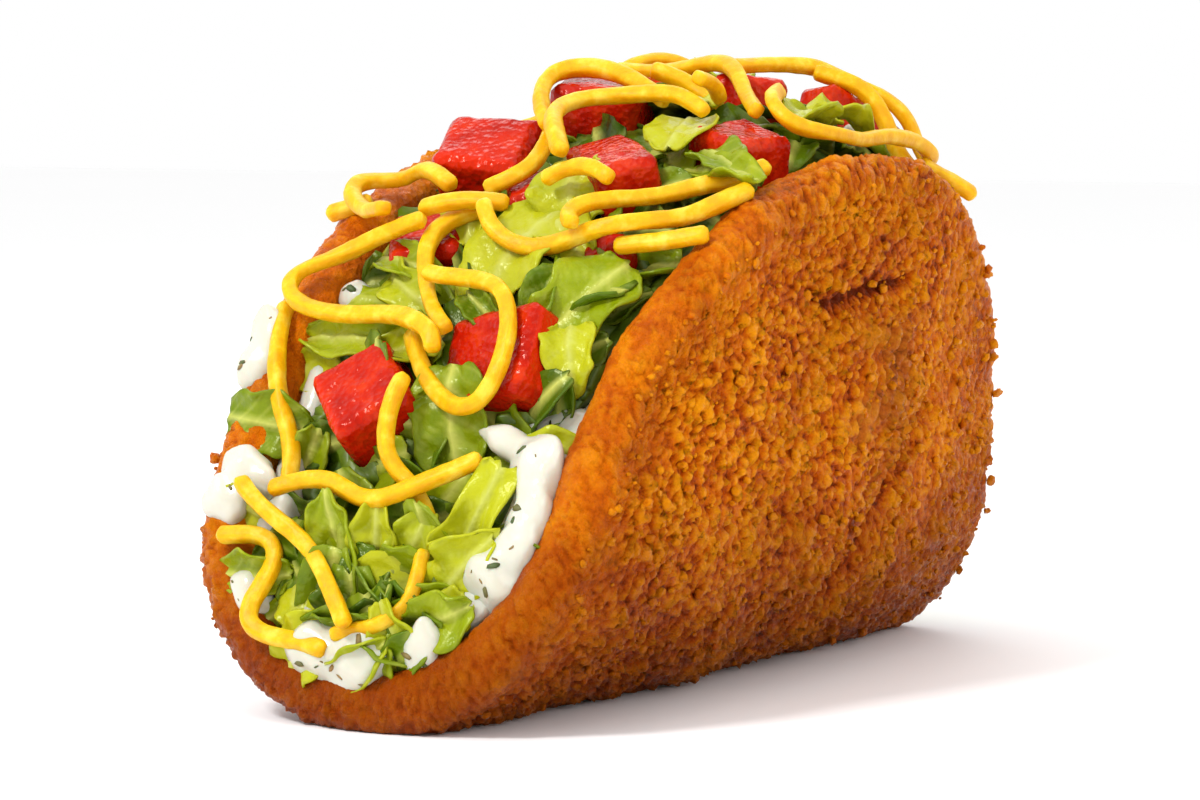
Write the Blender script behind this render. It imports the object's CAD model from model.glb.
"""Looks of the chalupa: a crumbly fried shell round chopped lettuce, wet tomato dice, shredded cheese and sauce.

Metres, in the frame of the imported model: X along the fold, +Y to the left wall, Z up.
"""

import heapq
import math
import random

import bmesh
import bpy
import numpy as np
from mathutils import Matrix, Vector, noise
from mathutils.bvhtree import BVHTree


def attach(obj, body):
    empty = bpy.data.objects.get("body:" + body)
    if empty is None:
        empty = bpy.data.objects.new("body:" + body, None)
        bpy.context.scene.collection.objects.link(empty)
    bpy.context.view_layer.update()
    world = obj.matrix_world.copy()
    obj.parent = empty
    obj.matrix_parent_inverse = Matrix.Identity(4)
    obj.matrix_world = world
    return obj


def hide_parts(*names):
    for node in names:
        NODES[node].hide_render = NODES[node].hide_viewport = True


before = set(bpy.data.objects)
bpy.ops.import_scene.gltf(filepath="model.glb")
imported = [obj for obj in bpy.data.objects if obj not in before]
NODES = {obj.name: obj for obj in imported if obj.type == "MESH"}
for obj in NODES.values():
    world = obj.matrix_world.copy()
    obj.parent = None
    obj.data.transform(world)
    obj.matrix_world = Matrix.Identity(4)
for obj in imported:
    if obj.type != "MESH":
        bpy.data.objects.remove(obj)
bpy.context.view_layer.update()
MM = 0.001

# The folded blank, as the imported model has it.
WALL = 0.0086
FOLD_HALF = 0.0740
BLANK_HALF = 0.0933
BEND_RADIUS = 0.0282
NEAR_OVAL = 2.27
FAR_OVAL = 2.12
NEAR_LEAN = math.radians(87.5)
FAR_LEAN = math.radians(76.5)
TAPER = 0.157
BELLY = 0.159
LEFT_SWELL = 0.0030
FOLD_X = -0.0011
FOLD_Y = 0.0002
TOP_SHIFT = 0.144
WAVE = 0.0010
FLAT_CUT = 0.0010
ARCH_X = 0.0026
ARCH_Z = 0.0340
SALAD_REACH = 0.965
SALAD_INSET = 0.0016
SALAD_RISE = ((0, 0.000), (25, 0.000), (55, 0.003), (80, 0.009), (102, 0.0135), (120, 0.0135), (180, 0.001))

# The crust's mesh: cells along and across the blank, and where its sheet turns into the rim.
CRUST_CELLS = (240, 300)
RIM_REACH = 0.955
RIM_STEPS = 18
LINING_CELLS = (120, 150)

# Chopped leaves that show, in millimetres and degrees: turn, across, rise over the salad's top, length, width,
# spin, tip, roll, curl along, cup across, ruffle height, tone (0 deep green to 1 yellow-green).
LEAVES = (
    (55, -0.12, 2.0, 27, 15, -12, 6, 0, 70, 1.5, 1.2, 0.92),
    (63, -0.22, 2.5, 13, 13, 20, -20, 0, 60, 0.5, 2.0, 0.80),
    (49, -0.50, 1.5, 13, 6, 4, 0, 0, 40, 2.5, 0.4, 0.35),
    (49, -0.74, 1.5, 20, 12, -20, 10, 15, 60, 1.5, 2.4, 0.55),
    (44, -0.82, 1.0, 15, 8, 25, 10, 20, 90, 2.0, 1.0, 0.95),
    (53, 0.60, 1.5, 20, 6, 75, 0, 10, 90, 2.0, 0.8, 0.60),
    (50, 0.50, 1.0, 16, 7, 60, 10, -10, 60, 1.5, 1.2, 0.75),
    (44, 0.62, 1.0, 24, 7, 88, 0, 10, 40, 2.0, 2.2, 0.65),
    (43, 0.30, 1.0, 13, 6, 100, 5, 10, 30, 1.0, 1.8, 0.70),
    (47.5, -0.15, 1.8, 10, 5, 60, 0, 0, 30, 2.5, 0.3, 0.35),
    (35, 1.12, 2.5, 14, 10, 80, -8, 0, 50, 1.0, 1.2, 0.40),
    (27, 1.08, 2.5, 9, 7, 60, -10, 0, 40, 1.0, 1.0, 0.75),
    (19, 1.00, 2.0, 13, 8, 60, -5, 0, 50, 1.5, 1.4, 0.55),
    (8, 0.90, 2.0, 14, 10, 70, -10, 10, 70, 1.0, 1.5, 0.85),
    (24, 0.34, 1.5, 15, 8, 10, -12, 0, 50, 2.5, 0.6, 0.60),
    (24.5, 0.06, 1.5, 12, 7, -8, -8, 10, 40, 2.0, 0.5, 0.80),
    (23, -0.22, 1.0, 13, 8, -20, 0, 0, 60, 1.5, 1.2, 0.70),
    (26, -0.60, 1.5, 22, 8, -24, 0, 10, 60, 1.5, 2.6, 0.90),
    (21, -0.66, 2.0, 16, 9, -28, 0, 0, 50, 1.5, 2.0, 0.80),
    (15, -0.72, 1.5, 13, 8, -32, 0, 0, 50, 2.0, 1.5, 0.55),
    (11, -0.50, 1.5, 13, 8, 60, 0, 0, 40, 1.5, 1.2, 0.80),
    (4, 0.10, 1.5, 14, 6, 85, 0, 0, 40, 2.5, 0.8, 0.70),
    (36, -0.22, 0.5, 18, 14, 10, 0, 0, 40, 1.5, 0.5, 0.45),
    (17, 0.55, 0.0, 16, 10, 30, 10, 0, 70, 2.0, 2.0, 0.25),
    (16, 0.15, -0.5, 16, 11, -30, 10, 0, 60, 2.0, 2.0, 0.20),
    (20, 0.78, 0.0, 13, 9, 10, 0, 0, 60, 1.5, 1.5, 0.30),
    (10, 0.40, 0.5, 13, 8, 50, 0, 0, 60, 1.5, 1.5, 0.40),
    (75, -0.52, 2.5, 13, 11, 10, -5, 0, 40, 1.0, 0.6, 0.90),
    (69, -0.92, 3.0, 20, 6, 72, 8, 0, 30, 1.5, 1.5, 0.60),
    (71, -0.86, 3.2, 12, 8, 60, 0, 0, 40, 1.5, 0.8, 0.45),
    (88, -0.86, 3.5, 13, 9, 10, 0, 10, 60, 2.5, 1.0, 0.75),
    (95, -0.86, 3.0, 14, 9, -20, 0, 10, 70, 2.5, 1.4, 0.97),
    (84, -0.22, 2.0, 14, 9, 70, 0, 0, 40, 1.5, 1.0, 0.85),
    (58, -0.30, 1.0, 15, 9, 50, 0, 0, 40, 1.5, 1.0, 0.98),
    (60, 0.35, 1.0, 12, 9, 10, 0, 0, 50, 1.5, 1.2, 0.85),
    (100, 0.10, 3.0, 16, 10, 30, 0, 0, 50, 1.5, 1.5, 0.70),
    (114, -0.40, 3.0, 17, 10, -30, 0, 0, 50, 1.5, 1.5, 0.60),
    (118, 0.50, 3.0, 16, 10, 40, 0, 0, 50, 1.5, 1.5, 0.80),
    (134, 0.05, 2.5, 16, 10, 0, 0, 0, 50, 1.5, 1.5, 0.50),
    (142, 0.55, 2.5, 16, 10, 60, 0, 0, 50, 1.5, 1.5, 0.85),
    (150, -0.60, 2.5, 14, 9, 20, 0, 0, 50, 1.5, 1.5, 0.65),
    (165, 0.10, 2.5, 14, 9, 80, 0, 0, 50, 1.5, 1.5, 0.75),
)

# Where the sauce wells over the rim, in millimetres and degrees: turn, across, length, width, thickness, spin.
BLOBS = (
    (5.0, 1.10, 12, 11, 7.5, 10),
    (1.5, 0.92, 13, 11, 7.5, 40),
    (8.5, -0.92, 11, 6, 4.5, 40),
    (20, -0.92, 11, 9, 6.5, -15),
    (23, -0.95, 12, 7, 6.0, -15),
    (26, -0.97, 12, 7, 6.0, -15),
    (29, -0.96, 12, 7, 6.0, -10),
    (31.5, -0.92, 12, 9, 7.0, 0),
    (33.5, -0.82, 14, 13, 9.0, 10),
    (34.0, -0.70, 13, 5.0, 5.0, 75),
    (29.5, 1.12, 11, 10, 6.0, 0),
    (27.5, 1.22, 8, 8, 5.0, 0),
    (15.5, 1.15, 9, 6, 4.5, 0),
    (43, 1.27, 14, 6, 4.5, 5),
    (40.5, 1.32, 8, 6, 4.0, 0),
    (50, 0.95, 6, 5, 4.0, 0),
    (100, -0.45, 11, 7, 9.0, 40),
    (105, -0.80, 15, 7, 9.0, -10),
    (150, 0.95, 13, 7, 5.0, 20),
    (165, -0.85, 12, 8, 5.0, -20),
)

CRUMB_COUNT = 2600
FLECK_COUNT = 60

# Strands of cheese, as the CAD ones but squarer: band between middles, rounds of softening, section.
STRAND_BAND = 0.0021
STRAND_SOFTEN = 3
STRAND_SIDES = 16
STRAND_WIDTH = 0.00250
STRAND_HEIGHT = 0.00220
SQUARENESS = 4.0  # superellipse power of the section

CAMERA_AZIMUTH = math.radians(-56.9)
CAMERA_ELEVATION = math.radians(4.3)
CAMERA_TARGET = Vector((-0.0087, 0.00195, 0.0427))
CAMERA_DISTANCE = 0.647
CAMERA_LENS = 126.0


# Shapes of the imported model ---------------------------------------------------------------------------


def smooth_step(value, low, high):
    share = min(max((value - low) / (high - low), 0.0), 1.0)
    return share * share * (3 - 2 * share)


def table_value(table, at):
    """Straight-line reading of a table of (place, value)."""
    if at <= table[0][0]:
        return table[0][1]
    for (low, first), (high, second) in zip(table, table[1:]):
        if at <= high:
            return first + (second - first) * (at - low) / (high - low)
    return table[-1][1]


def blank_place(u, v):
    """Place on the flat blank, along and across the fold, of a point of the unit disc."""
    reach = math.hypot(u, v)
    if reach < 1e-9:
        return 0.0, 0.0
    c, s = abs(u) / reach, abs(v) / reach
    power = NEAR_OVAL if u < 0 else FAR_OVAL
    radial = (c**power + s**power) ** (-1 / power)
    return FOLD_HALF * radial * u, BLANK_HALF * radial * v


def wall_point(u, v, lift):
    """A point of the folded blank over the unit disc's (u, v), lift in from the middle of its wall."""
    along, across = blank_place(u, v)
    share = along / FOLD_HALF
    lean = NEAR_LEAN + (FAR_LEAN - NEAR_LEAN) * (share + 1) / 2
    side = math.copysign(1, across)
    bend = min(abs(across) / BEND_RADIUS, lean)
    straight = max(abs(across) - BEND_RADIUS * lean, 0.0)
    y = BEND_RADIUS * math.sin(bend) + straight * math.cos(bend)
    z = BEND_RADIUS * (1 - math.cos(bend)) + straight * math.sin(bend)
    width = 1 - TAPER * share - BELLY * share * share
    if side > 0:
        y += LEFT_SWELL * max(-share, 0.0) ** 4 * smooth_step(across, 0.0, BLANK_HALF * 0.25)
    lift = lift + WAVE * noise.noise(Vector((along, across, 0)) * 40)
    return Vector(
        (
            FOLD_X + along + TOP_SHIFT * z,
            FOLD_Y + side * (y * width - lift * math.sin(bend)),
            z + WALL / 2 - FLAT_CUT + lift * math.cos(bend),
        )
    )


def disc_place(x, y):
    """A point of the square of side 2, moved into the unit disc so that its cells stay even."""
    return x * math.sqrt(1 - y * y / 2), y * math.sqrt(1 - x * x / 2)


def crown_place(turn, across):
    """A place on the salad's top and the outward direction there.

    turn goes round the mouth of the shell in degrees, from the foot of the -X end (0) over the top (90) to
    the foot of the +X end (180); across goes from the right rim (-1) to the left rim (1), and past them.
    """
    x = -math.cos(math.radians(turn)) * SALAD_REACH
    y = math.sin(math.radians(turn)) * SALAD_REACH
    left = wall_point(x, y, WALL / 2 + SALAD_INSET)
    right = wall_point(x, -y, WALL / 2 + SALAD_INSET)
    middle = (left + right) / 2
    out = Vector((middle.x - ARCH_X, 0, middle.z - ARCH_Z)).normalized()
    crown = (1 - min(across * across, 1.0)) ** 0.5
    point = middle + (left - middle) * across
    return point + out * table_value(SALAD_RISE, turn) * crown, out


def mouth_frame(turn, across, rise, spin=0.0, tip=0.0, roll=0.0):
    """A frame on the salad's top: X round the mouth, Z outward, then spun, tipped and rolled (degrees)."""
    point, out = crown_place(turn, across)
    ahead = crown_place(turn + 2, across)[0] - point
    length = (ahead - out * ahead.dot(out)).normalized()
    frame_axes = Matrix((length, out.cross(length), out)).transposed().to_4x4()
    turned = Matrix.Rotation(math.radians(spin), 4, "Z")
    turned = turned @ Matrix.Rotation(math.radians(tip), 4, "Y") @ Matrix.Rotation(math.radians(roll), 4, "X")
    return Matrix.Translation(point + out * rise) @ frame_axes @ turned


# Meshes -----------------------------------------------------------------------------------------------


def new_piece(name, verts, faces, look):
    """An object with a smooth-shaded mesh and a look."""
    data = bpy.data.meshes.new(name)
    data.from_pydata(verts, [], faces)
    data.shade_smooth()
    return show(bpy.data.objects.new(name, data), look)


def show(piece, look):
    bpy.context.scene.collection.objects.link(piece)
    piece.data.materials.clear()
    piece.data.materials.append(look)
    return piece


def belongs(piece, slot, *nodes):
    """The piece rides on the body, takes its finish from a slot and stands for the nodes."""
    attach(piece, "root")
    if nodes:
        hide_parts(*nodes)
    return piece


def bake_modifiers(piece):
    """The piece's mesh as its modifiers make it."""
    graph = bpy.context.evaluated_depsgraph_get()
    baked = bpy.data.meshes.new_from_object(piece.evaluated_get(graph), preserve_all_data_layers=True, depsgraph=graph)
    piece.modifiers.clear()
    piece.data = baked
    baked.shade_smooth()


def fine_copy(node, name, look, cell, rounds):
    """The node's solid as an even fine mesh, its facets smoothed away."""
    piece = show(bpy.data.objects.new(name, NODES[node].data.copy()), look)
    even_out(piece, cell, rounds)
    return piece


def even_out(piece, cell, rounds):
    """Remesh to even cells, then smooth for some rounds."""
    grid = piece.modifiers.new("grid", "REMESH")
    grid.mode = "VOXEL"
    grid.voxel_size = cell
    soft = piece.modifiers.new("soft", "SMOOTH")
    soft.iterations = rounds
    bake_modifiers(piece)


def paint(piece, name, values):
    """Keeps one number for each vertex as an attribute that the materials read."""
    made = piece.data.attributes.new(name, "FLOAT", "POINT")
    made.data.foreach_set("value", np.array(values, np.float32))


def vertex_rows(piece):
    """The vertices' places and normals, as arrays."""
    count = len(piece.data.vertices)
    places = np.empty(count * 3, np.float32)
    normals = np.empty(count * 3, np.float32)
    piece.data.vertices.foreach_get("co", places)
    piece.data.vertex_normals.foreach_get("vector", normals)
    return places.reshape(-1, 3), normals.reshape(-1, 3)


def raise_surface(piece, heights):
    """Moves each vertex out along its normal."""
    places, normals = vertex_rows(piece)
    places += normals * np.array(heights, np.float32)[:, None]
    piece.data.vertices.foreach_set("co", places.ravel())
    piece.data.update()


def search_tree(piece):
    data = piece.data
    return BVHTree.FromPolygons([vert.co for vert in data.vertices], [face.vertices for face in data.polygons])


def crumbs_height(spot, size):
    """Rounded grains of about a size, with crevices between: 0 in a crevice to 1 on the tallest grain."""
    distances, centres = noise.voronoi(spot / size)
    tall = 0.55 + 0.75 * noise.noise(centres[0] * 5.1)
    crevice = smooth_step(distances[1] - distances[0], 0.0, 0.22)
    dome = 1 - min(distances[0], 1.0) ** 2
    return max(tall, 0.1) * crevice * (0.3 + 0.9 * dome)


# Materials --------------------------------------------------------------------------------------------


class Look:
    """A Principled material and the helpers that lay nodes in it."""

    def __init__(self, name, roughness, **sockets):
        self.material = bpy.data.materials.new(name)
        self.material.use_nodes = True
        self.tree = self.material.node_tree
        self.shader = self.tree.nodes["Principled BSDF"]
        self.shader.inputs["Roughness"].default_value = roughness
        for socket, value in sockets.items():
            self.shader.inputs[socket.replace("_", " ")].default_value = value

    def node(self, kind, **values):
        made = self.tree.nodes.new(kind)
        for key, value in values.items():
            setattr(made, key, value)
        return made

    def link(self, start, end):
        self.tree.links.new(start, end)

    def attribute(self, name):
        return self.node("ShaderNodeAttribute", attribute_name=name).outputs["Fac"]

    def speckle(self, scale, detail=2.0, rough=0.5):
        """Noise over the object's own coordinates, as a factor about 0.5."""
        place = self.node("ShaderNodeTexCoord").outputs["Object"]
        made = self.node("ShaderNodeTexNoise")
        made.inputs["Scale"].default_value = scale
        made.inputs["Detail"].default_value = detail
        made.inputs["Roughness"].default_value = rough
        self.link(place, made.inputs["Vector"])
        return made.outputs["Fac"]

    def grains(self, scale):
        """Distance to the nearest cell centre, over the object's own coordinates."""
        place = self.node("ShaderNodeTexCoord").outputs["Object"]
        made = self.node("ShaderNodeTexVoronoi")
        made.inputs["Scale"].default_value = scale
        self.link(place, made.inputs["Vector"])
        return made.outputs["Distance"]

    def ramp(self, factor, *stops):
        """A colour ramp with (place, colour) stops."""
        made = self.node("ShaderNodeValToRGB")
        points = made.color_ramp.elements
        while len(points) < len(stops):
            points.new(0.5)
        for point, (place, colour) in zip(points, stops):
            point.position = place
            point.color = (*colour, 1.0)
        self.link(factor, made.inputs["Fac"])
        return made.outputs["Color"]

    def mix(self, factor, first, second, blend="MIX"):
        made = self.node("ShaderNodeMix", data_type="RGBA", blend_type=blend)
        for socket, value in ((0, factor), (6, first), (7, second)):
            if isinstance(value, (float, int)):
                made.inputs[socket].default_value = value
            elif isinstance(value, tuple):
                made.inputs[socket].default_value = (*value, 1.0)
            else:
                self.link(value, made.inputs[socket])
        return made.outputs[2]

    def sum(self, first, second, share):
        """first + second * share."""
        made = self.node("ShaderNodeMath", operation="MULTIPLY_ADD")
        self.link(second, made.inputs[0])
        made.inputs[1].default_value = share
        self.link(first, made.inputs[2])
        return made.outputs[0]

    def range(self, value, low, high, start=0.0, end=1.0):
        made = self.node("ShaderNodeMapRange")
        made.inputs["From Min"].default_value = low
        made.inputs["From Max"].default_value = high
        made.inputs["To Min"].default_value = start
        made.inputs["To Max"].default_value = end
        self.link(value, made.inputs["Value"])
        return made.outputs["Result"]

    def bump(self, height, depth, strength=1.0):
        made = self.node("ShaderNodeBump")
        made.inputs["Strength"].default_value = strength
        made.inputs["Distance"].default_value = depth
        self.link(height, made.inputs["Height"])
        self.link(made.outputs["Normal"], self.shader.inputs["Normal"])

    def colour(self, value):
        self.link(value, self.shader.inputs["Base Color"])


def crust_look():
    look = Look("fried crust", 0.5, Specular_IOR_Level=0.35, Specular_Tint=(1.0, 0.50, 0.08, 1.0))
    relief = look.sum(look.attribute("relief"), look.speckle(900, 4, 0.7), 0.7)
    fried = look.ramp(
        relief,
        (0.40, (0.190, 0.015, 0.0004)),
        (0.52, (0.480, 0.062, 0.0004)),
        (0.66, (0.730, 0.145, 0.0006)),
        (0.92, (0.990, 0.340, 0.0040)),
    )
    smooth = look.ramp(
        look.speckle(160, 3, 0.55),
        (0.32, (0.500, 0.075, 0.0005)),
        (0.50, (0.760, 0.165, 0.0005)),
        (0.70, (0.900, 0.290, 0.0020)),
    )
    both = look.mix(look.attribute("lip"), fried, smooth)
    both = look.mix(look.attribute("pink"), both, (0.56, 0.19, 0.030))
    patches = look.range(look.speckle(45, 2), 0.35, 0.65)
    browned = look.mix(patches, (0.80, 0.70, 0.60), (1.05, 1.07, 1.05))
    both = look.mix(1.0, both, browned, "MULTIPLY")
    under = look.mix(look.attribute("under"), (1.0, 1.0, 1.0), (0.42, 0.28, 0.25))
    look.colour(look.mix(1.0, both, under, "MULTIPLY"))
    look.bump(look.sum(look.speckle(1100, 5, 0.75), look.grains(1000), 0.5), 0.0010)
    look.link(look.range(look.speckle(500, 2), 0.35, 0.65, 0.20, 0.52), look.shader.inputs["Roughness"])
    return look.material


def lettuce_look():
    look = Look("lettuce", 0.28, Specular_IOR_Level=0.35, Specular_Tint=(0.95, 1.0, 0.6, 1.0))
    tone = look.sum(look.attribute("tone"), look.speckle(220, 2), 0.35)
    leafy = look.ramp(
        tone,
        (0.20, (0.030, 0.070, 0.003)),
        (0.45, (0.110, 0.190, 0.003)),
        (0.75, (0.300, 0.370, 0.003)),
        (1.00, (0.520, 0.530, 0.010)),
    )
    ribbed = look.mix(look.attribute("rib"), leafy, (0.62, 0.64, 0.13))
    look.colour(ribbed)
    look.bump(look.sum(look.speckle(420, 3), look.grains(260), 0.5), 0.0005)
    through = look.node("ShaderNodeBsdfTranslucent")
    look.link(ribbed, through.inputs["Color"])
    shared = look.node("ShaderNodeMixShader")
    shared.inputs["Fac"].default_value = 0.22
    look.link(look.shader.outputs["BSDF"], shared.inputs[1])
    look.link(through.outputs["BSDF"], shared.inputs[2])
    look.link(shared.outputs["Shader"], look.tree.nodes["Material Output"].inputs["Surface"])
    return look.material


def core_look():
    look = Look("salad depths", 0.45)
    look.colour(look.ramp(look.speckle(130, 3), (0.35, (0.045, 0.095, 0.004)), (0.65, (0.160, 0.230, 0.008))))
    look.bump(look.grains(200), 0.001)
    return look.material


def tomato_look():
    look = Look("tomato", 0.18, Specular_IOR_Level=0.22, Specular_Tint=(1.0, 0.6, 0.5, 1.0))
    flesh = look.ramp(
        look.speckle(240, 4, 0.6),
        (0.30, (0.300, 0.004, 0.001)),
        (0.50, (0.450, 0.010, 0.001)),
        (0.74, (0.600, 0.038, 0.004)),
    )
    look.colour(look.mix(look.attribute("skin"), flesh, (0.58, 0.018, 0.001)))
    look.bump(look.sum(look.speckle(500, 3), look.grains(1000), 0.7), 0.00030)
    return look.material


def cheese_look():
    look = Look("shredded cheese", 0.42, Specular_IOR_Level=0.20, Subsurface_Weight=0.6)
    look.shader.inputs["Subsurface Radius"].default_value = (1.0, 0.75, 0.12)
    look.shader.inputs["Subsurface Scale"].default_value = 0.003
    look.colour(
        look.ramp(
            look.speckle(300, 3, 0.6),
            (0.38, (0.700, 0.345, 0.001)),
            (0.54, (0.770, 0.425, 0.002)),
            (0.68, (0.830, 0.540, 0.045)),
        )
    )
    look.bump(look.sum(look.speckle(1100, 3), look.grains(900), 0.4), 0.00015, 0.8)
    return look.material


def sauce_look():
    look = Look("cream sauce", 0.22, Subsurface_Weight=0.25, Coat_Weight=0.3, Coat_Roughness=0.08)
    look.shader.inputs["Subsurface Scale"].default_value = 0.003
    look.colour(look.ramp(look.speckle(150), (0.3, (0.56, 0.54, 0.43)), (0.7, (0.62, 0.61, 0.52))))
    look.bump(look.speckle(350, 2), 0.0003, 0.5)
    return look.material


def herb_look():
    look = Look("dried herb", 0.6)
    look.colour(look.ramp(look.attribute("tone"), (0.0, (0.05, 0.09, 0.02)), (1.0, (0.30, 0.17, 0.05))))
    return look.material


def floor_look():
    look = Look("pale floor", 0.7)
    look.colour(look.ramp(look.speckle(3), (0.0, (0.97, 0.97, 0.97)), (1.0, (0.98, 0.98, 0.98))))
    return look.material


# The shell --------------------------------------------------------------------------------------------


def disc_grid(cells, reach):
    """(u, v) of a grid's vertices in the unit disc, and its faces, which turn clockwise about the third axis."""
    along, across = cells
    places = []
    for i in range(along + 1):
        for j in range(across + 1):
            u, v = disc_place(2 * i / along - 1, 2 * j / across - 1)
            places.append((u * reach, v * reach))
    row = across + 1
    faces = [
        (i * row + j, i * row + j + 1, (i + 1) * row + j + 1, (i + 1) * row + j)
        for i in range(along)
        for j in range(across)
    ]
    return places, faces


def grid_edge(cells):
    """The vertices round a grid's edge, anticlockwise."""
    along, across = cells
    row = across + 1
    edge = [i * row for i in range(along)]
    edge += [along * row + j for j in range(across)]
    edge += [i * row + across for i in range(along, 0, -1)]
    edge += [j for j in range(across, 0, -1)]
    return edge


def rim_profile():
    """(reach, lift) of the rings that go round the rim and a little way down inside."""
    rings = []
    for step in range(1, RIM_STEPS + 1):
        angle = math.pi * (step / RIM_STEPS - 0.5)
        rings.append((RIM_REACH + (1 - RIM_REACH) * math.cos(angle) ** 0.8, WALL / 2 * math.sin(angle)))
    rings.append((RIM_REACH - 0.02, WALL / 2))
    rings.append((RIM_REACH - 0.05, WALL / 2 - 0.0006))
    return rings


def underneath(spot):
    """How far a place is browned, as the underside of the fold is: 0 to 1."""
    return 1 - smooth_step(spot.z + 0.006 * noise.noise(spot * 70), 0.001, 0.040)


def crust_relief(spot, u, v, lift):
    """Height of the breading over the plain wall, and its shares of grain, lip and pink fold."""
    reach = math.hypot(u, v)
    near = smooth_step(-u, 0.15, 0.60)
    ragged = 0.05 * noise.noise(spot * 130) + 0.03 * noise.noise(spot * 300)
    lip = smooth_step(reach + ragged, 0.83, 0.95) * (0.10 + 0.60 * near)
    inside = smooth_step(lift, -WALL / 4, WALL / 3)
    band = smooth_step(spot.x, 0.026, 0.038) * 0.55
    patch = 0.85 + 0.5 * noise.noise(spot * 85)
    grain = patch * (1 - 0.70 * lip) * (1 - band) * (1 - 0.8 * inside)
    tall = Vector((spot.x, spot.y, spot.z * 0.75))
    coarse = crumbs_height(tall + noise.noise_vector(spot * 300) * 0.0010, 0.0023)
    fine = crumbs_height(tall + noise.noise_vector(spot * 700) * 0.0005, 0.0012)
    slow = noise.noise(spot * 55) * 0.0010 + noise.noise(spot * 160) * 0.00045
    height = slow + grain * (0.00110 * coarse + 0.00095 * fine) + (0.00034 - 0.00018 * smooth_step(reach, 0.90, 0.97)) * fine
    pink = dark = 0.0
    if v < 0:
        crease = spot.z - 0.0605 - 0.10 * spot.x + 0.0030 * noise.noise(spot * 75)
        window = smooth_step(spot.x, -0.016, -0.004) * smooth_step(-spot.x, -0.026, -0.014)
        crease = math.exp(-((crease / 0.0012) ** 2)) * window
        height -= 0.0016 * crease
        dark = 0.45 * crease
        shelf = smooth_step(spot.x, 0.000, 0.010) * smooth_step(-spot.x, -0.030, -0.018)
        pink = shelf * smooth_step(spot.z, 0.024, 0.036) * smooth_step(-spot.z, -0.060, -0.050)
        pink *= smooth_step(noise.noise(spot * 110), -0.35, 0.15)
        ripple = math.sin((spot.x - 0.36 * spot.z + 0.002 * noise.noise(spot * 60)) * 2 * math.pi / 0.0038)
        height += 0.0006 * ripple * pink
        valley = spot.x - 0.0235 - 0.8 * (spot.z - 0.028) + 0.004 * noise.noise(spot * 50)
        run = smooth_step(spot.z, 0.006, 0.016) * smooth_step(-spot.z, -0.050, -0.036)
        valley = math.exp(-((valley / 0.0035) ** 2)) * run
        height -= 0.0018 * valley
        dark += 0.16 * valley
    relief = 0.10 + 0.40 * coarse + 0.42 * fine - 0.25 * (1 - patch) - dark
    return height, relief, max(lip, inside, 0.6 * band) * 0.9, pink * 0.45, underneath(spot)


def make_crust():
    """The shell's outer sheet and its rim."""
    places, faces = disc_grid(CRUST_CELLS, RIM_REACH)
    lifts = [-WALL / 2] * len(places)
    edge = grid_edge(CRUST_CELLS)
    directions = [Vector(places[index]) / RIM_REACH for index in edge]
    ring = edge
    for reach, lift in rim_profile():
        start = len(places)
        places += [tuple(direction * reach) for direction in directions]
        lifts += [lift] * len(directions)
        count = len(directions)
        new_ring = list(range(start, start + count))
        for at in range(count):
            after = (at + 1) % count
            faces.append((ring[at], ring[after], new_ring[after], new_ring[at]))
        ring = new_ring
    verts = [wall_point(u, v, lift) for (u, v), lift in zip(places, lifts)]
    crust = new_piece("shell_crust", verts, faces, crust_look())
    rows = [crust_relief(spot, u, v, lift) for spot, (u, v), lift in zip(verts, places, lifts)]
    heights, relief, lip, pink, under = zip(*rows)
    raise_surface(crust, heights)
    flatten_foot(crust)
    paint(crust, "relief", relief)
    paint(crust, "lip", lip)
    paint(crust, "pink", pink)
    paint(crust, "under", under)
    return belongs(crust, "shell", "shell")


def flatten_foot(piece):
    """Nothing reaches below what the shell rests on."""
    places, _ = vertex_rows(piece)
    places[:, 2] = np.maximum(places[:, 2], 0.0)
    piece.data.vertices.foreach_set("co", places.ravel())
    piece.data.update()


def make_lining():
    """The smoother inside of the shell, with small pits."""
    places, faces = disc_grid(LINING_CELLS, RIM_REACH - 0.015)
    faces = [tuple(reversed(face)) for face in faces]
    verts = [wall_point(u, v, WALL / 2 - 0.0003) for u, v in places]
    lining = new_piece("shell_lining", verts, faces, bpy.data.materials["fried crust"])
    pits = [smooth_step(noise.voronoi(spot / 0.0045)[0][0], 0.10, 0.30) for spot in verts]
    raise_surface(lining, [0.0004 * (pit - 1) for pit in pits])
    paint(lining, "relief", [0.15 + 0.5 * pit for pit in pits])
    paint(lining, "lip", [0.9 * pit for pit in pits])
    paint(lining, "pink", [0.0] * len(verts))
    paint(lining, "under", [0.0] * len(verts))
    return belongs(lining, "shell")


def lump(rng, size, rounds=1):
    """An uneven small grain about the origin: vertices and faces."""
    shape = bmesh.new()
    bmesh.ops.create_icosphere(shape, subdivisions=rounds, radius=size / 2)
    shift = Vector((rng.random(), rng.random(), rng.random())) * 50
    squeeze = Vector((1.0, 0.65 + 0.35 * rng.random(), 0.55 + 0.35 * rng.random()))
    verts = []
    for vert in shape.verts:
        uneven = 1 + 0.55 * noise.noise(vert.co.normalized() * 1.4 + shift)
        verts.append(Vector([co * way for co, way in zip(vert.co * uneven, squeeze)]))
    faces = [tuple(vert.index for vert in face.verts) for face in shape.faces]
    shape.free()
    return verts, faces


def random_turn(rng):
    """An even random rotation about a random axis."""
    axis = Vector([rng.gauss(0, 1) for _ in range(3)]).normalized()
    return Matrix.Rotation(rng.uniform(0, 2 * math.pi), 4, axis)


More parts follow.
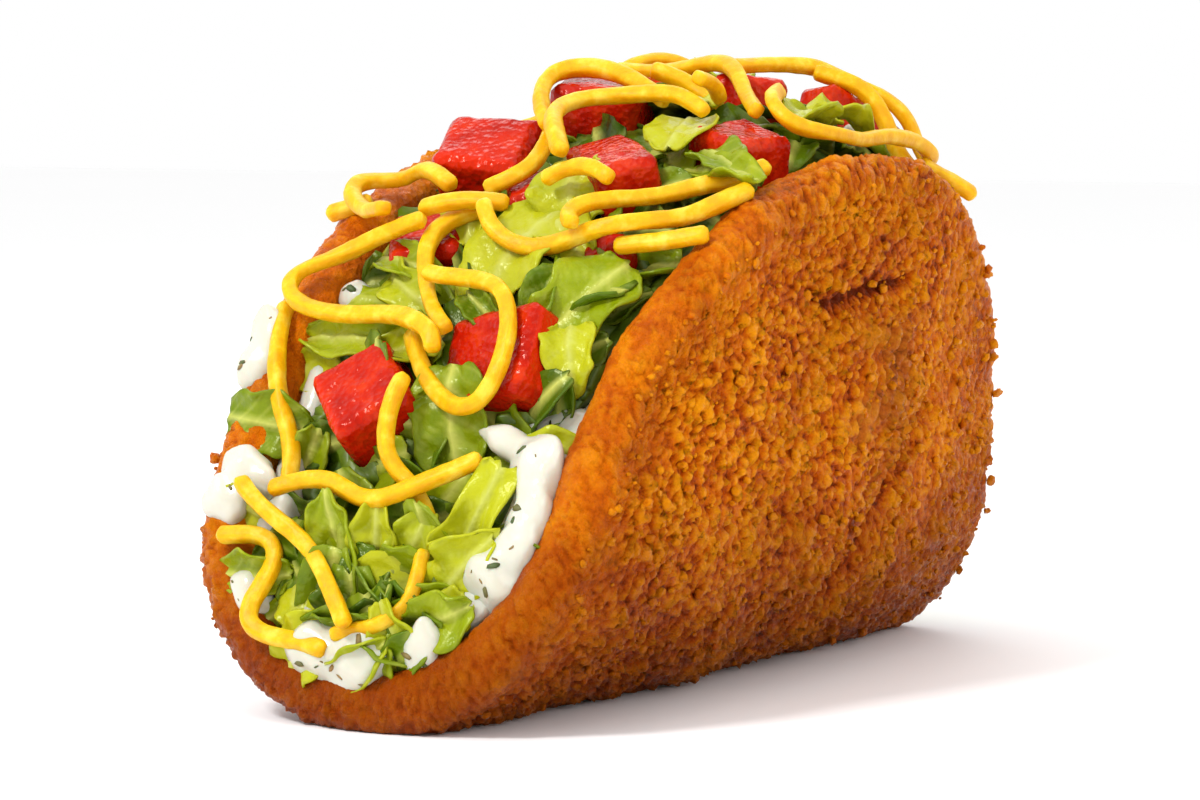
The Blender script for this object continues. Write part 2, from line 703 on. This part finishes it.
def make_crumbs(crust):
    """Loose crumbs stuck to the outside of the shell, all in one mesh."""
    rng = random.Random(11)
    verts, faces, relief = [], [], []
    for _ in range(CRUMB_COUNT):
        u, v = disc_place(rng.uniform(-1, 1), rng.uniform(-1, 1))
        reach = math.hypot(u, v)
        if reach > 0.985 or (reach > 0.82 and rng.random() < 0.4) or abs(v) < 0.14:
            continue
        size = rng.choice((0.0007, 0.0008, 0.0010, 0.0013, 0.0018))
        height = crust_relief(wall_point(u, v, -WALL / 2), u, v, -WALL / 2)[0]
        spot = wall_point(u, v, -WALL / 2 - height - rng.uniform(0.0, 0.25) * size)
        grain, grain_faces = lump(rng, size, 2 if size > 0.0009 else 1)
        turned = Matrix.Translation(spot) @ random_turn(rng)
        faces += [tuple(index + len(verts) for index in face) for face in grain_faces]
        verts += [turned @ vert for vert in grain]
        relief += [rng.uniform(0.35, 0.85)] * len(grain)
    crumbs = new_piece("crumbs", verts, faces, bpy.data.materials["fried crust"])
    paint(crumbs, "relief", relief)
    paint(crumbs, "lip", [0.0] * len(verts))
    paint(crumbs, "pink", [0.0] * len(verts))
    paint(crumbs, "under", [underneath(vert) for vert in verts])
    flatten_foot(crumbs)
    return belongs(crumbs, "shell")


# The filling ------------------------------------------------------------------------------------------


class Heap:
    """Many leaves in one mesh."""

    def __init__(self):
        self.verts, self.faces, self.tones, self.ribs = [], [], [], []

    def add(self, sheet, tone):
        verts, faces, ribs = sheet
        self.faces += [tuple(index + len(self.verts) for index in face) for face in faces]
        self.verts += verts
        self.tones += [tone] * len(verts)
        self.ribs += ribs


def leaf(placed, length, width, curl, cup, ruffle, cells, seed):
    """A chopped piece of leaf: a ragged sheet with a rib, cupped, curled along its length and ruffled."""
    long_cells, wide_cells = cells
    verts, ribs = [], []
    bend = math.radians(curl)
    for i in range(long_cells + 1):
        s = i / long_cells
        swell = math.sin(math.pi * (0.10 + 0.80 * s)) ** 0.55
        for j in range(wide_cells + 1):
            t = 2 * j / wide_cells - 1
            ragged = 1 + 0.30 * noise.noise(Vector((s * 4.0, t * 2.0, seed)))
            x = (s - 0.5) * length * (1 + 0.12 * noise.noise(Vector((t * 2.2, seed, 4.0))))
            y = t * width / 2 * swell * ragged
            wave = math.sin(s * 7.0 + seed * 2.1 + t) + 0.5 * math.sin(s * 15.0 + seed * 4.7)
            z = cup * t * t + ruffle * t * t * wave * 0.6
            z += 0.0007 * noise.noise(Vector((x, y, seed * 0.01)) * 420)
            z += 0.0006 * math.exp(-((t / 0.14) ** 2))
            y += ruffle * 0.25 * t * math.cos(s * 9.0 + seed)
            if bend > 1e-3:
                radius = length / bend
                angle = x / radius
                x, z = (radius - z) * math.sin(angle), z * math.cos(angle) - radius * (1 - math.cos(angle))
            verts.append(placed @ Vector((x, y, z)))
            side_vein = 0.25 * max(math.cos((s * 5.0 + abs(t) * 1.6) * 2 * math.pi), 0.0) ** 6
            ribs.append(min(0.85 * math.exp(-((t / 0.13) ** 2)) + side_vein, 1.0))
    row = wide_cells + 1
    faces = [
        (i * row + j, (i + 1) * row + j, (i + 1) * row + j + 1, i * row + j + 1)
        for i in range(long_cells)
        for j in range(wide_cells)
    ]
    return verts, faces, ribs


def covers(sheet, placed, trees):
    """Whether a leaf lies over a tomato die or a strand of cheese."""
    out = (placed.to_3x3() @ Vector((0, 0, 1))).normalized()
    for vert in sheet[0][::3]:
        for tree in trees:
            if tree.ray_cast(vert + out * 0.0005, -out, 0.012)[0] is not None:
                return True
    return False


def make_lettuce(trees):
    """Chopped leaves over the whole heap: a deep layer, an upper layer, and those placed by hand."""
    rng = random.Random(5)
    heap = Heap()
    for layer, (step, low, high, cells) in enumerate(((6.0, -3.6, -1.6, (9, 6)), (7.8, -1.4, 0.8, (13, 9)))):
        turn = 1.0
        while turn < 179:
            for place in range(-4, 5):
                across = place * 0.215 + rng.uniform(-0.1, 0.1)
                at = min(max(turn + rng.uniform(-2.5, 2.5), 0.5), 179.5)
                rise = rng.uniform(low, high) * MM
                small = 1 - 0.4 * smooth_step(abs(across), 0.5, 0.85)
                length, width = rng.uniform(13, 21) * MM * small, rng.uniform(8, 13) * MM * small
                placed = mouth_frame(at, across, rise, rng.uniform(0, 360), rng.gauss(0, 14), rng.gauss(0, 18))
                curl, cup, ruffle = rng.uniform(10, 90), rng.uniform(0, 2.5) * MM, rng.uniform(0.2, 1.5) * MM
                sheet = leaf(placed, length, width, curl, cup, ruffle, cells, rng.uniform(0, 90))
                tone = rng.uniform(0.05, 0.6) if layer == 0 else rng.uniform(0.3, 0.95)
                if layer == 0 or not covers(sheet, placed, trees):
                    heap.add(sheet, tone)
            turn += step
    for seed, row in enumerate(LEAVES):
        turn, across, rise, length, width, spin, tip, roll, curl, cup, ruffle, tone = row
        placed = mouth_frame(turn, across, rise * MM, spin, tip, roll)
        heap.add(leaf(placed, length * MM, width * MM, curl, cup * MM, ruffle * MM, (24, 14), seed * 1.7), tone)
    lettuce = new_piece("lettuce", heap.verts, heap.faces, lettuce_look())
    paint(lettuce, "tone", heap.tones)
    paint(lettuce, "rib", heap.ribs)
    thick = lettuce.modifiers.new("thickness", "SOLIDIFY")
    thick.thickness = 0.0004
    thick.offset = 0.0
    bake_modifiers(lettuce)
    return belongs(lettuce, "salad")


def make_core():
    """The inside of the heap, well below the leaves that show."""
    core = fine_copy("salad", "salad_core", core_look(), 0.0013, 4)
    places, normals = vertex_rows(core)
    sunk = []
    for place, normal in zip(places, normals):
        spot = Vector(place)
        outward = Vector(normal).dot(Vector((spot.x - ARCH_X, 0, spot.z - ARCH_Z)).normalized())
        sunk.append(-0.0036 * smooth_step(outward, 0.1, 0.6) + 0.0012 * noise.noise(spot * 200))
    raise_surface(core, sunk)
    return belongs(core, "salad", "salad")


def make_tomatoes():
    """Each die in fine mesh, wet and uneven, with one side of skin."""
    look = tomato_look()
    for number, node in enumerate(sorted(name for name in NODES if name.startswith("tomato_")), 1):
        die = fine_copy(node, f"tomato_die_{number:02d}", look, 0.00048, 3)
        places, normals = vertex_rows(die)
        skin_side = Vector((math.cos(number * 2.4), math.sin(number * 2.4), 0.4)).normalized()
        heights, skin = [], []
        for place, normal in zip(places, normals):
            spot = Vector(place)
            bare = 1 - smooth_step(Vector(normal).dot(skin_side), 0.75, 0.92)
            flesh = noise.noise(spot * 260) * 0.00022 + noise.noise(spot * 700) * 0.00006
            pits = -0.00022 * (1 - smooth_step(noise.voronoi(spot / 0.0038)[0][0], 0.10, 0.35))
            heights.append(noise.noise(spot * 110) * 0.0004 + bare * (flesh + pits))
            skin.append(1 - bare)
        raise_surface(die, heights)
        paint(die, "skin", skin)
        belongs(die, "tomato", node)


def walk(mesh, start):
    """Distance over the mesh's edges from one vertex to every other."""
    ways = [[] for _ in mesh.vertices]
    for edge in mesh.edges:
        one, other = edge.vertices
        long = (mesh.vertices[one].co - mesh.vertices[other].co).length
        ways[one].append((other, long))
        ways[other].append((one, long))
    far = [math.inf] * len(ways)
    far[start] = 0.0
    queue = [(0.0, start)]
    while queue:
        gone, at = heapq.heappop(queue)
        if gone > far[at]:
            continue
        for other, long in ways[at]:
            if gone + long < far[other]:
                far[other] = gone + long
                heapq.heappush(queue, (far[other], other))
    return far


def centre_line(node):
    """Places along the middle of a CAD strand, evenly spaced: the middles of bands of its surface."""
    skin = fine_copy(node, "skin", core_look(), 0.0007, 0)
    far = walk(skin.data, 0)
    far = walk(skin.data, far.index(max(far)))
    bands = max(round(max(far) / STRAND_BAND), 3)
    sums = [[Vector(), 0] for _ in range(bands)]
    for vert, gone in zip(skin.data.vertices, far):
        band = sums[min(int(gone / max(far) * bands), bands - 1)]
        band[0] += vert.co
        band[1] += 1
    bpy.data.objects.remove(skin)
    middles = [total / count for total, count in sums]
    for _ in range(STRAND_SOFTEN):
        inner = [(a + b * 2 + c) / 4 for a, b, c in zip(middles, middles[1:], middles[2:])]
        middles = [middles[0], *inner, middles[-1]]
    return middles


def catmull_rom(first, second, third, fourth, share):
    """The curve from second (share 0) to third (share 1)."""
    return 0.5 * (
        2 * second
        + (third - first) * share
        + (2 * first - 5 * second + 4 * third - fourth) * share**2
        + (3 * second - first - 3 * third + fourth) * share**3
    )


def strand_mesh(middles, seed):
    """A shred of cheese along a line: a rounded square in section, which turns and swells a little."""
    knots = [2 * middles[0] - middles[1], *middles, 2 * middles[-1] - middles[-2]]
    line = []
    for four in zip(knots, knots[1:], knots[2:], knots[3:]):
        line += [catmull_rom(*four, step / 4) for step in range(4)]
    line.append(knots[-2])
    side = (line[1] - line[0]).orthogonal().normalized()
    verts, last = [], len(line) - 1
    for at, spot in enumerate(line):
        ahead = (line[min(at + 1, last)] - line[max(at - 1, 0)]).normalized()
        side = (side - ahead * side.dot(ahead)).normalized()
        other = ahead.cross(side)
        ends = min(at, last - at)
        swell = (0.62, 0.93, 1.0)[min(ends, 2)] * (1 + 0.14 * noise.noise(spot * 80 + Vector((seed, 0, 0))))
        twist = 0.8 * noise.noise(Vector((at * 0.05, seed, 0.0)))
        for corner in range(STRAND_SIDES):
            angle = 2 * math.pi * corner / STRAND_SIDES
            c, s = math.cos(angle), math.sin(angle)
            square = (abs(c) ** SQUARENESS + abs(s) ** SQUARENESS) ** (-1 / SQUARENESS)
            wide = STRAND_WIDTH / 2 * square * c * swell
            high = STRAND_HEIGHT / 2 * square * s * swell
            along, up = math.cos(twist), math.sin(twist)
            verts.append(spot + side * (wide * along - high * up) + other * (wide * up + high * along))
    sides = range(STRAND_SIDES)
    faces = [
        (at * STRAND_SIDES + a, at * STRAND_SIDES + b, (at + 1) * STRAND_SIDES + b, (at + 1) * STRAND_SIDES + a)
        for at in range(last)
        for a, b in ((a, (a + 1) % STRAND_SIDES) for a in sides)
    ]
    faces.append(tuple(reversed(sides)))
    faces.append(tuple(last * STRAND_SIDES + a for a in sides))
    return verts, faces


def make_cheese():
    """Each strand again along the middle of the CAD one, smoother and squarer."""
    look = cheese_look()
    for number, node in enumerate(sorted(name for name in NODES if name.startswith("cheese_")), 1):
        strand = new_piece(f"cheese_strand_{number:02d}", *strand_mesh(centre_line(node), number * 3.3), look)
        places, _ = vertex_rows(strand)
        raise_surface(strand, [noise.noise(Vector(place) * 600) * 0.00008 for place in places])
        belongs(strand, "cheese", node)


def make_sauce(trees):
    """The film inside the shell, and the blobs that well over its rim. Returns the blobs."""
    look = sauce_look()
    film = fine_copy("sauce", "sauce_film", look, 0.0009, 3)
    places, _ = vertex_rows(film)
    raise_surface(film, [noise.noise(Vector(place) * 120) * 0.0005 for place in places])
    belongs(film, "sauce", "sauce")
    verts, faces = [], []
    for turn, across, length, width, thick, spin in BLOBS:
        point, out = crown_place(turn, across)
        hits = [tree.ray_cast(point + out * 0.03, -out, 0.04)[0] for tree in trees]
        heights = [(hit - point).dot(out) for hit in hits if hit is not None]
        placed = mouth_frame(turn, across, max(heights, default=0.0), spin)
        shape = bmesh.new()
        bmesh.ops.create_icosphere(shape, subdivisions=3, radius=0.5)
        for vert in shape.verts:
            uneven = 1 + 0.35 * noise.noise(vert.co * 3 + Vector((turn, across, 0)))
            x, y, z = vert.co * uneven
            vert.co = placed @ Vector((x * length * MM, y * width * MM, z * thick * MM))
        faces += [tuple(vert.index + len(verts) for vert in face.verts) for face in shape.faces]
        verts += [vert.co.copy() for vert in shape.verts]
        shape.free()
    blobs = new_piece("sauce_blobs", verts, faces, look)
    even_out(blobs, 0.0005, 22)
    belongs(blobs, "sauce")
    return blobs


def make_flecks(blobs):
    """Flecks of dried herb on the sauce, all in one mesh."""
    rng = random.Random(3)
    tree = search_tree(blobs)
    verts, faces, tones = [], [], []
    for _ in range(FLECK_COUNT):
        turn, across, length, width, _, _ = rng.choice(BLOBS)
        point, out = crown_place(turn, across)
        beside = Vector([rng.gauss(0, length * MM * 0.25) for _ in range(3)])
        hit, normal = tree.ray_cast(point + beside + out * 0.02, -out, 0.04)[:2]
        if hit is None:
            continue
        size = rng.choice((0.0005, 0.0008, 0.0012, 0.0018))
        tone = rng.random()
        grain, grain_faces = lump(rng, size)
        flat = normal.to_track_quat("Z", "X").to_matrix().to_4x4() @ Matrix.Rotation(rng.uniform(0, 6.28), 4, "Z")
        placed = Matrix.Translation(hit) @ flat @ Matrix.Diagonal((1.3, 0.7, 0.35, 1))
        faces += [tuple(index + len(verts) for index in face) for face in grain_faces]
        verts += [placed @ vert for vert in grain]
        tones += [tone] * len(grain)
    flecks = new_piece("herb_flecks", verts, faces, herb_look())
    paint(flecks, "tone", tones)
    return belongs(flecks, "sauce")


# Stage ------------------------------------------------------------------------------------------------


def make_stage():
    """A plain pale floor."""
    verts = [(x, y, -0.0002) for x, y in ((-3, -3), (3, -3), (3, 3), (-3, 3))]
    new_piece("floor", verts, [(0, 1, 2, 3)], floor_look())


def softbox(name, azimuth, elevation, distance, size, power):
    """A square area light that faces the object. Azimuth is measured as the camera's is."""
    back = view_back(math.radians(azimuth), math.radians(elevation))
    lamp = bpy.data.lights.new(name, "AREA")
    lamp.size = size
    lamp.energy = power
    light = bpy.data.objects.new(name, lamp)
    light.location = CAMERA_TARGET + back * distance
    light.rotation_euler = back.to_track_quat("Z", "Y").to_euler()
    bpy.context.scene.collection.objects.link(light)


def view_back(azimuth, elevation):
    """Direction from the target to a viewer who looks along +Y at azimuth 0."""
    level = math.cos(elevation)
    return Vector((math.sin(azimuth) * level, -math.cos(azimuth) * level, math.sin(elevation)))


def make_lights():
    softbox("key", -105, 45, 0.9, 0.16, 5.0)
    softbox("fill", -20, 25, 1.1, 0.5, 1.8)
    softbox("top", -60, 80, 1.0, 0.4, 1.0)
    softbox("rim", 120, 40, 1.1, 0.6, 1.5)
    world = bpy.data.worlds.new("studio")
    world.use_nodes = True
    backdrop = world.node_tree.nodes["Background"]
    backdrop.inputs["Color"].default_value = (1.0, 1.0, 1.0, 1.0)
    backdrop.inputs["Strength"].default_value = 1.0
    bpy.context.scene.world = world


def set_colours():
    """Plain colours, as a product picture has them."""
    view = bpy.context.scene.view_settings
    view.view_transform = "Standard"
    view.exposure = 0.0


def make_camera():
    back = view_back(CAMERA_AZIMUTH, CAMERA_ELEVATION)
    camera = bpy.data.objects.new("camera", bpy.data.cameras.new("camera"))
    camera.data.lens = CAMERA_LENS
    camera.data.clip_start = 0.01
    camera.location = CAMERA_TARGET + back * CAMERA_DISTANCE
    camera.rotation_euler = back.to_track_quat("Z", "Y").to_euler()
    bpy.context.scene.collection.objects.link(camera)
    bpy.context.scene.camera = camera


def main():
    toppings = [search_tree(NODES[name]) for name in sorted(NODES) if name.startswith(("tomato_", "cheese_"))]
    crust = make_crust()
    make_lining()
    make_crumbs(crust)
    make_core()
    make_lettuce(toppings)
    make_tomatoes()
    make_cheese()
    blobs = make_sauce([search_tree(crust), search_tree(NODES["salad"])])
    make_flecks(blobs)
    make_stage()
    make_lights()
    make_camera()
    set_colours()


main()
